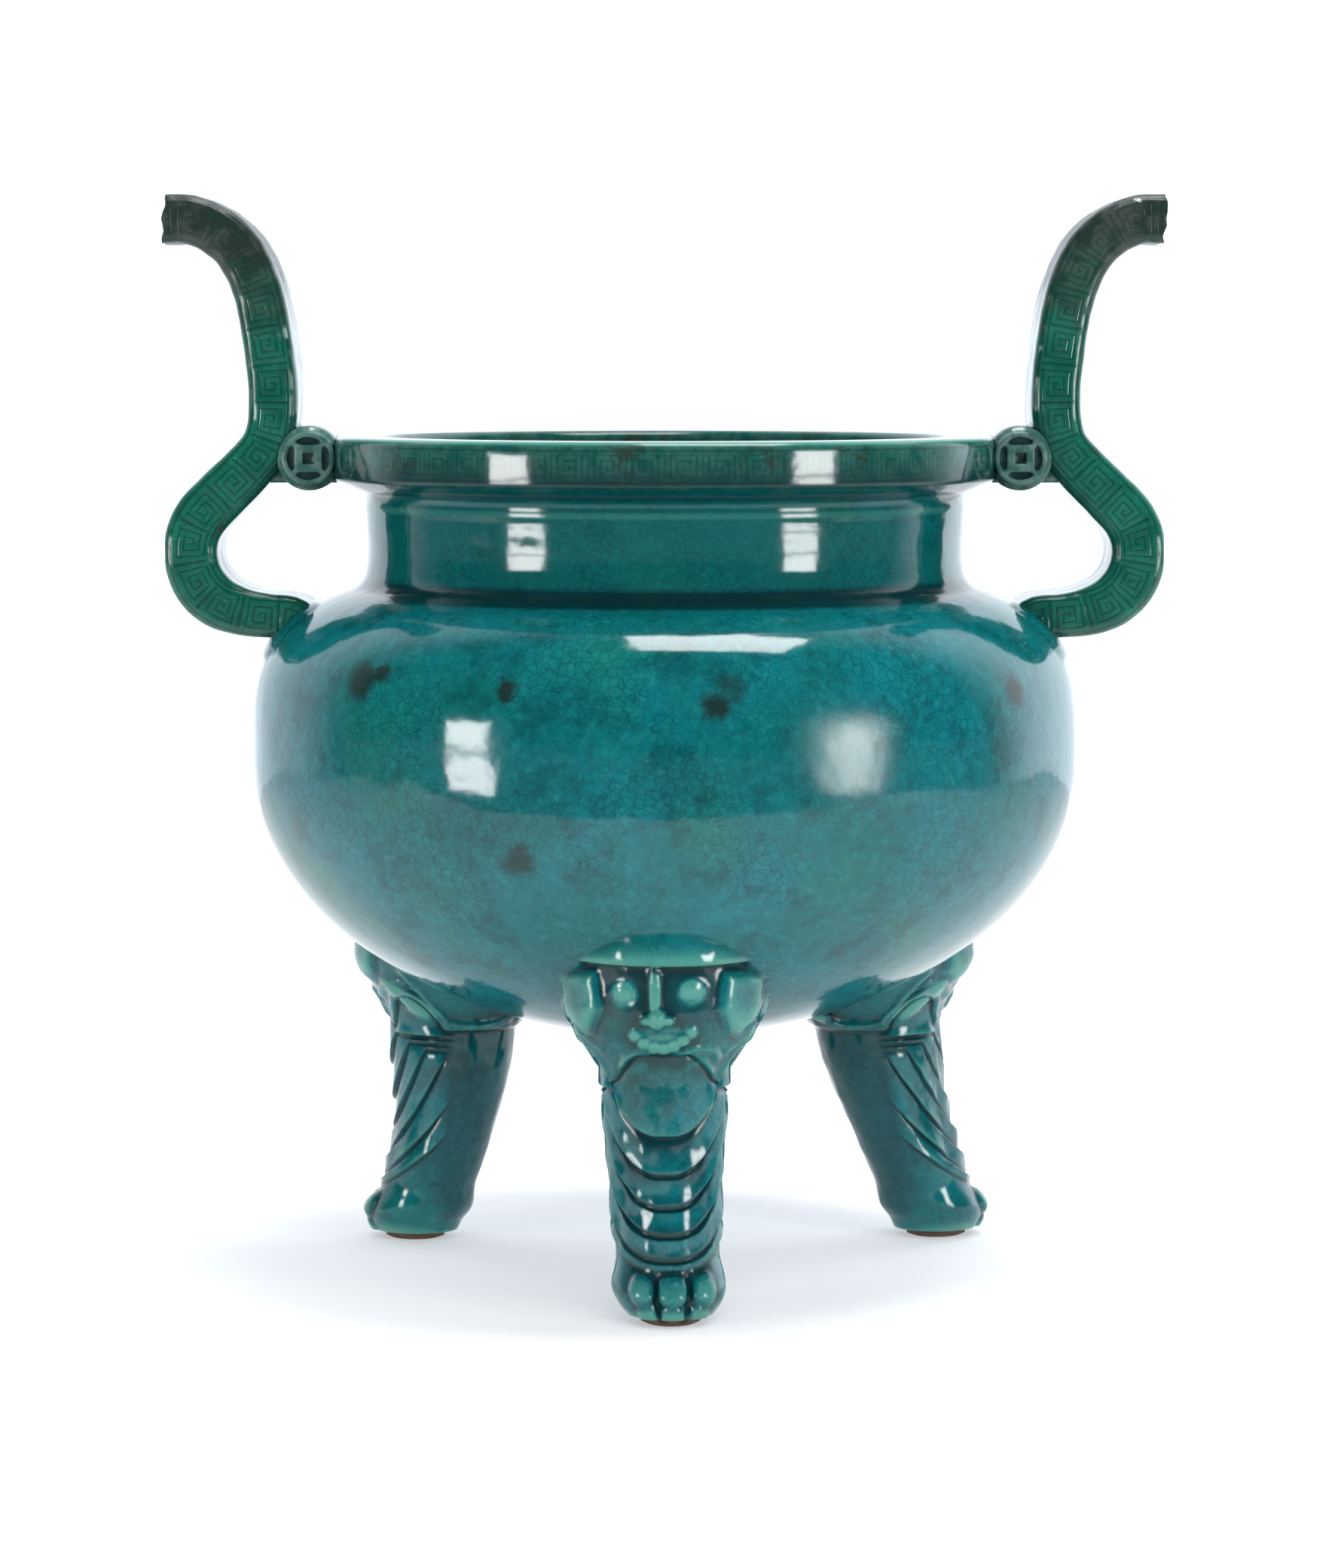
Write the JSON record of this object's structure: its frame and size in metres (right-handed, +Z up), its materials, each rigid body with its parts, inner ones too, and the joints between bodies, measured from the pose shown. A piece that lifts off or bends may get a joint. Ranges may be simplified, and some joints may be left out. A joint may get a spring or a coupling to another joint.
{
  "type": "glazed tripod censer",
  "caption": "Round-bellied glazed ceramic censer on lion-mask legs, with S-shaped strap handles held to its rim by short struts.",
  "frame": {"origin": "on the ground, under the middle of the bowl", "axes": "+Z up; the two handles lie along X; the leg at the front points along -Y"},
  "size_m": [0.36, 0.3, 0.3907],
  "materials": {
    "turquoise_glaze": "glossy crackled turquoise glaze, thin and dark on the handles' tips and pooled in the carving"
  },
  "bodies": {
    "root": {"censer": "turquoise_glaze"}
  },
  "joints": []
}
